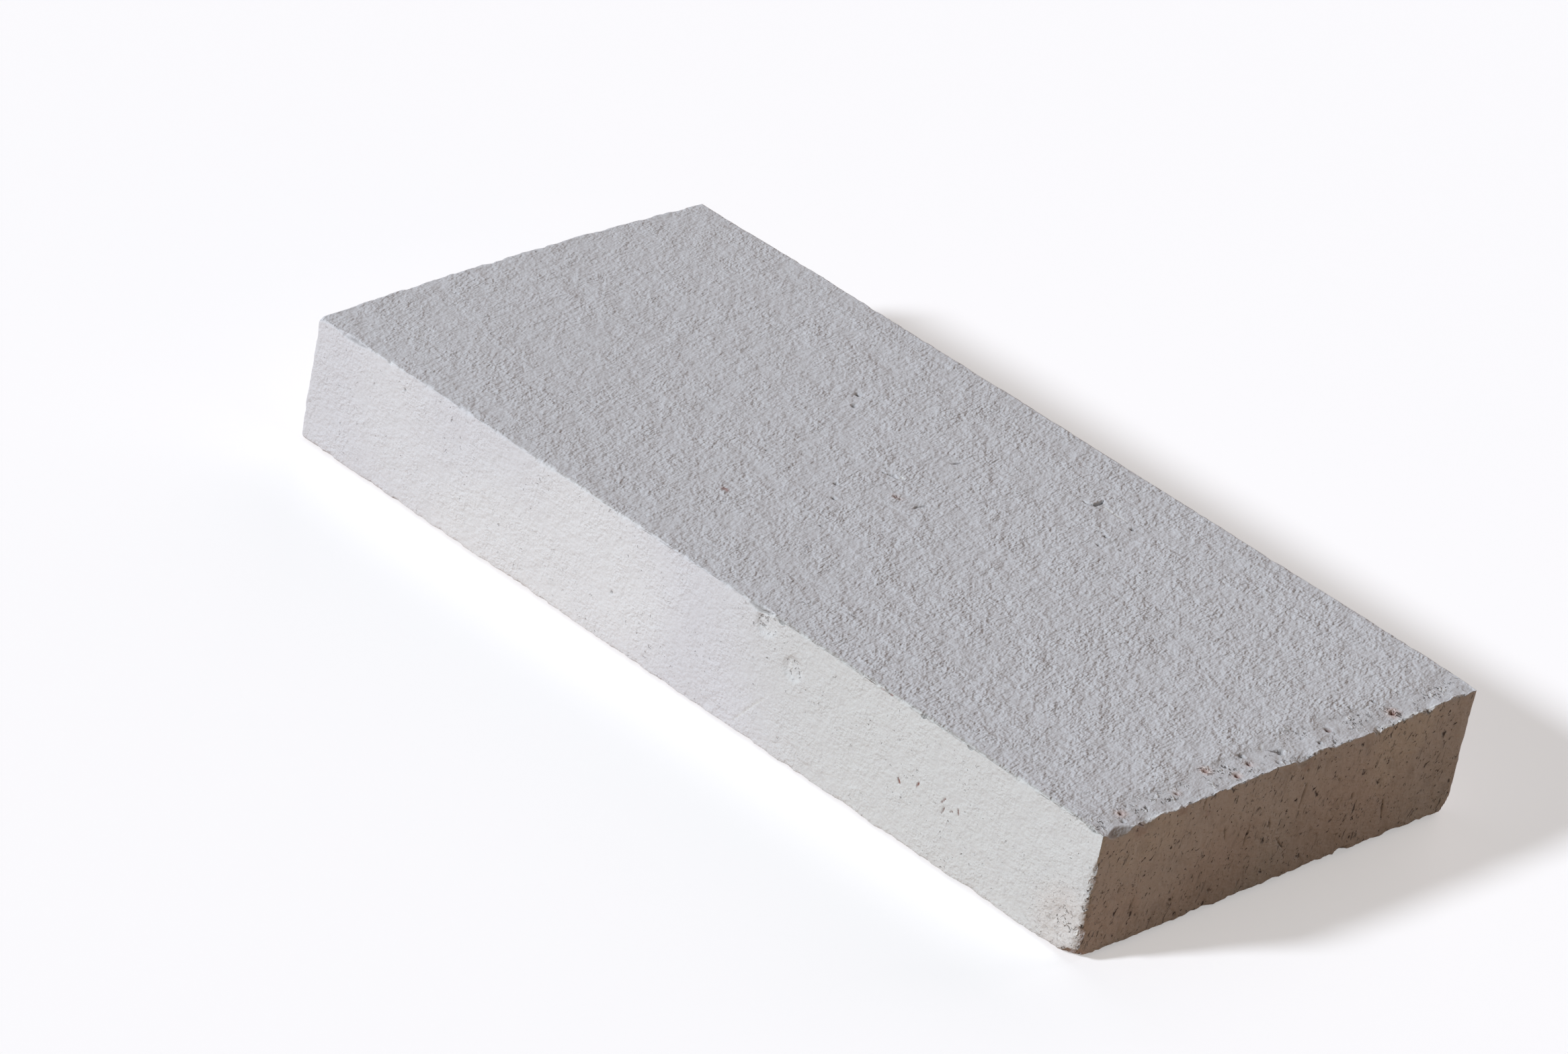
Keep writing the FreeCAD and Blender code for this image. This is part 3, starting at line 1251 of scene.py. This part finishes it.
    def _arris_radius(self, home: Vector) -> float:
        """Find how far the arris nearest to a point is worn.

        Args:
            home: a point of the plain block.

        Returns:
            The radius of its rounding, in metres.
        """
        core, reach = self.arris_core * MM, self.arris_reach * MM
        low, high = self.block.low, self.block.high
        snapped = home.copy()
        for axis in range(3):
            for level in (low[axis], high[axis]):
                if abs(home[axis] - level) < reach:
                    snapped[axis] = level
        at_top, at_back, at_near = (ease(high[axis] - home[axis], reach, core) for axis in (2, 1, 0))
        at_bed, at_front, at_far = (ease(home[axis] - low[axis], reach, core) for axis in (2, 1, 0))
        foot = ease(home.z, self.foot_reach * MM, 0.0) * at_front * at_near
        radius = self.upright_arris
        ragged = self.long_raggedness
        for share, worn in ((foot, self.foot_arris), (at_top, self.top_arris), (at_bed, self.bed_arris)):
            radius += (worn - radius) * share
        for share, rough in (
            (at_far, self.far_raggedness),
            (at_near, self.near_raggedness),
            (at_back, self.back_raggedness),
            (at_bed, self.bed_raggedness),
        ):
            ragged += (rough - ragged) * share
        radius *= 1.0 + ragged * sum(ripple.at(snapped) for ripple in self.arris_swells)
        bitten = max(0.0, self.arris_bites.at(snapped) - self.arris_bite_start)
        nibbled = max(0.0, self.arris_nibbles.at(snapped))
        return max(self.least_arris, radius + ragged * (bitten + nibbled)) * MM

    def _relief(self, home: Vector, outward: Vector) -> float:
        """Find how far the surface lies under the plain block.

        Args:
            home: a point of the plain block.
            outward: the direction that the worn surface looks in there.

        Returns:
            The depth in metres.
        """
        looks = (part**2 for part in outward)
        along, across, up = (look if look >= self.least_look else 0.0 for look in looks)
        depth = 0.0
        for share, ripples in (
            (along, self.ends),
            (across, self.long_sides),
            (up, self.large_faces),
            (up * self._smoothed(home), self.strip_lumps),
        ):
            if share:
                depth += share * sum(ripple.depth(home) for ripple in ripples)
        return depth * MM

    def _smoothed(self, home: Vector) -> float:
        """Return how far the mould's edge pressed a point smooth, from 0 to 1."""
        inset = (self.block.high.x - home.x) / MM
        return ease(inset + self.strip_edge.at(home), *self.strip_fade)

    def _burr(self, home: Vector) -> float:
        """Return how far the burr of the near end stands up at a point, from 0 to 1."""
        patchy = ease(sum(ripple.at(home) for ripple in self.burr_patches), 0.0, self.burr_rise)
        return patchy * ease((self.block.high.x - home.x) / MM, *self.burr_fade)

    def _dip(self, home: Vector) -> float:
        """Find how far the top dips along the near end.

        Args:
            home: a point of the plain block.

        Returns:
            The dip in millimetres.
        """
        near = ease(self.block.high.x - home.x, self.dip_reach * MM, 0.0)
        wave = max(0.0, self.dip_mean + self.dip_waves.at(Vector((0.0, home.y, 0.0))))
        return self.near_dip * near * wave

    def _wear(self, clay: Clay) -> None:
        """Round the arrises, bow the far end, roughen the faces and note which face is which.

        Args:
            clay: the mesh, as the plain block.
        """
        low, high = self.block.low, self.block.high
        for vert in clay.bm.verts:
            home = vert.co.copy()
            radius = self._arris_radius(home)
            inner = Vector(
                min(max(home[axis], low[axis] + radius), high[axis] - radius) for axis in range(3)
            )
            outward = (home - inner).normalized()
            place = inner + outward * (radius - self._relief(home, outward))
            far = ease(home.x - low.x, self.far_bow_length * MM, 0.0)
            aside = far * (2.0 * home.y / self.block.size.y) ** 2
            burr = self._burr(home) * outward.z**2
            lowered = self.far_crown * aside + self._dip(home) - self.burr_height * burr
            place.x += self.far_bow * aside * MM
            place.z -= lowered * MM * home.z / high.z
            vert.co = place
            clay.mark(vert, "pale", self.burr_paleness * burr)
            self._note_face(clay, vert, home, outward)

    def _note_face(
        self, clay: Clay, vert: bmesh.types.BMVert, home: Vector, outward: Vector
    ) -> None:
        """Note how far a vertex is peened, torn or crumbly, which goes by the face that it is on.

        Args:
            clay: the mesh.
            vert: the vertex.
            home: its point of the plain block.
            outward: the direction that the worn surface looks in there.
        """
        smoothed = self._smoothed(home)
        far = ease((home.x - self.block.low.x) / MM, self.far_calm_length, 0.0)
        peened = (1.0 - self.strip_calm * smoothed) * (1.0 - self.far_calm * far)
        clay.mark(vert, "peened", peened * outward.z**2)
        clay.mark(vert, "torn", outward.x**2)
        loose = smoothed * ease(self.loose_patches.at(home), *self.loose_levels)
        clay.mark(vert, "crumbly", loose * outward.z**2)
        near = max(0.0, outward.x) ** 2
        clay.mark(vert, "crumbly", self.near_crumble * near * (1.0 - near))
        clay.mark(vert, "crumbly", self.long_crumble * (outward.y * outward.z) ** 2)

    def _keep_in_block(self, bm: bmesh.types.BMesh) -> None:
        """Press back what stands outside the block, so that the slab keeps the model's size.

        Args:
            bm: the worn mesh.
        """
        low, high = self.block.low, self.block.high
        for vert in bm.verts:
            vert.co = [min(max(vert.co[axis], low[axis]), high[axis]) for axis in range(3)]


@dataclass(frozen=True)
class PhotoCamera:
    """The camera, where it stood for the photograph."""

    aim: tuple[float, float, float] = (-19.04, -8.5, 15.0)
    azimuth: float = 39.04
    elevation: float = 28.79
    roll: float = 11.92
    distance: float = 1677.5
    lens: float = 184.57
    sensor: float = 36.0

    def build(self) -> None:
        """Make the camera and give it to the scene."""
        data = bpy.data.cameras.new("photo_camera")
        data.sensor_width = self.sensor
        data.lens = self.lens
        back = heading(self.azimuth, self.elevation)
        level = back.to_track_quat("Z", "Y").to_matrix()
        camera = bpy.data.objects.new("photo_camera", data)
        camera.location = Vector(self.aim) * MM + back * self.distance * MM
        camera.rotation_euler = (level @ Matrix.Rotation(math.radians(self.roll), 3, "Z")).to_euler()
        bpy.context.scene.collection.objects.link(camera)
        bpy.context.scene.camera = camera


@dataclass(frozen=True)
class Lamp:
    """A distant soft light. Its level is the share of a white card's tone that it gives, face on."""

    name: str
    azimuth: float
    elevation: float
    spread: float
    level: float
    colour: str

    def build(self) -> None:
        """Make the lamp."""
        data = bpy.data.lights.new(self.name, "SUN")
        data.angle = math.radians(self.spread)
        # A sun of strength pi lights a white card, face on, to full white.
        data.energy = math.pi * self.level
        data.color = linear(self.colour)[:3]
        lamp = bpy.data.objects.new(self.name, data)
        lamp.rotation_euler = heading(self.azimuth, self.elevation).to_track_quat("Z", "Y").to_euler()
        bpy.context.scene.collection.objects.link(lamp)


@dataclass(frozen=True)
class Studio:
    """The plain pale floor, the soft light and the white surround. The floor's sizes are in metres."""

    floor_reach: float = 6.0
    floor_drop: float = 0.0002
    floor_colour: str = "#F2F2F2"
    floor_lift: float = 0.42
    bounce_colour: str = "#B09079"
    sky_colour: str = "#FFF6EC"
    sky_level: float = 0.085
    surround_colour: str = "#FFFFFF"

    lamps: tuple[Lamp, ...] = (
        Lamp("key_light", -22.0, 27.0, 8.0, 1.0, "#F0F5FF"),
        Lamp("warm_reflector", 90.0, 8.0, 40.0, 0.066, "#FFC26E"),
        Lamp("back_fill", 190.0, 22.0, 60.0, 0.33, "#FFF0F2"),
    )

    def build(self) -> None:
        """Make the floor, the world and the lamps."""
        self._floor()
        self._world()
        for lamp in self.lamps:
            lamp.build()

    @staticmethod
    def _seen(tree: bpy.types.NodeTree) -> bpy.types.NodeSocket:
        """Tell the rays that show a thing, straight or by gloss or glass, from those that light others.

        Args:
            tree: the node tree.

        Returns:
            The mask, which is 1 for the rays that show it.
        """
        path = add_node(tree, "ShaderNodeLightPath")
        seen = path.outputs["Is Camera Ray"]
        for kind in ("Is Glossy Ray", "Is Transmission Ray"):
            either = add_node(tree, "ShaderNodeMath", {0: seen, 1: path.outputs[kind]}, operation="MAXIMUM")
            seen = either.outputs[0]
        return seen

    def _floor(self) -> None:
        """Lay the floor: near white to look at, with the slab's shadow, and warm in what it throws back."""
        bm = bmesh.new()
        bmesh.ops.create_grid(bm, x_segments=1, y_segments=1, size=self.floor_reach)
        bmesh.ops.translate(bm, verts=bm.verts, vec=(0.0, 0.0, -self.floor_drop))
        mesh = bpy.data.meshes.new("studio_floor")
        bm.to_mesh(mesh)
        bm.free()
        material = bpy.data.materials.new("matt_white_paper")
        material.use_nodes = True
        tree = material.node_tree
        tree.nodes.clear()
        paper = add_node(tree, "ShaderNodeBsdfDiffuse", {"Color": linear(self.floor_colour)})
        lift = add_node(tree, "ShaderNodeEmission", {"Strength": self.floor_lift})
        shown = add_node(
            tree, "ShaderNodeAddShader", {0: paper.outputs["BSDF"], 1: lift.outputs["Emission"]}
        )
        bounce = add_node(tree, "ShaderNodeBsdfDiffuse", {"Color": linear(self.bounce_colour)})
        surface = add_node(
            tree,
            "ShaderNodeMixShader",
            {0: self._seen(tree), 1: bounce.outputs["BSDF"], 2: shown.outputs["Shader"]},
        )
        add_node(tree, "ShaderNodeOutputMaterial", {"Surface": surface.outputs["Shader"]})
        mesh.materials.append(material)
        floor = bpy.data.objects.new("studio_floor", mesh)
        bpy.context.scene.collection.objects.link(floor)

    def _world(self) -> None:
        """Surround the scene: white to look at, and dim in what it throws on the slab."""
        world = bpy.data.worlds.new("studio_surround")
        world.use_nodes = True
        tree = world.node_tree
        tree.nodes.clear()
        sky = add_node(
            tree,
            "ShaderNodeBackground",
            {"Color": linear(self.sky_colour), "Strength": self.sky_level},
        )
        white = add_node(
            tree, "ShaderNodeBackground", {"Color": linear(self.surround_colour), "Strength": 1.0}
        )
        surface = add_node(
            tree,
            "ShaderNodeMixShader",
            {0: self._seen(tree), 1: sky.outputs["Background"], 2: white.outputs["Background"]},
        )
        add_node(tree, "ShaderNodeOutputWorld", {"Surface": surface.outputs["Shader"]})
        bpy.context.scene.world = world


def main() -> None:
    """Load the frame, and build the slab, its studio and the camera."""
    logging.basicConfig(level=logging.INFO, format="%(name)s: %(message)s")
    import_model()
    bpy.context.scene.view_settings.view_transform = "Standard"
    Firebrick(Block(*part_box(NODE)), FiredClay()).build()
    Studio().build()
    PhotoCamera().build()


if __name__ == "__main__":
    main()
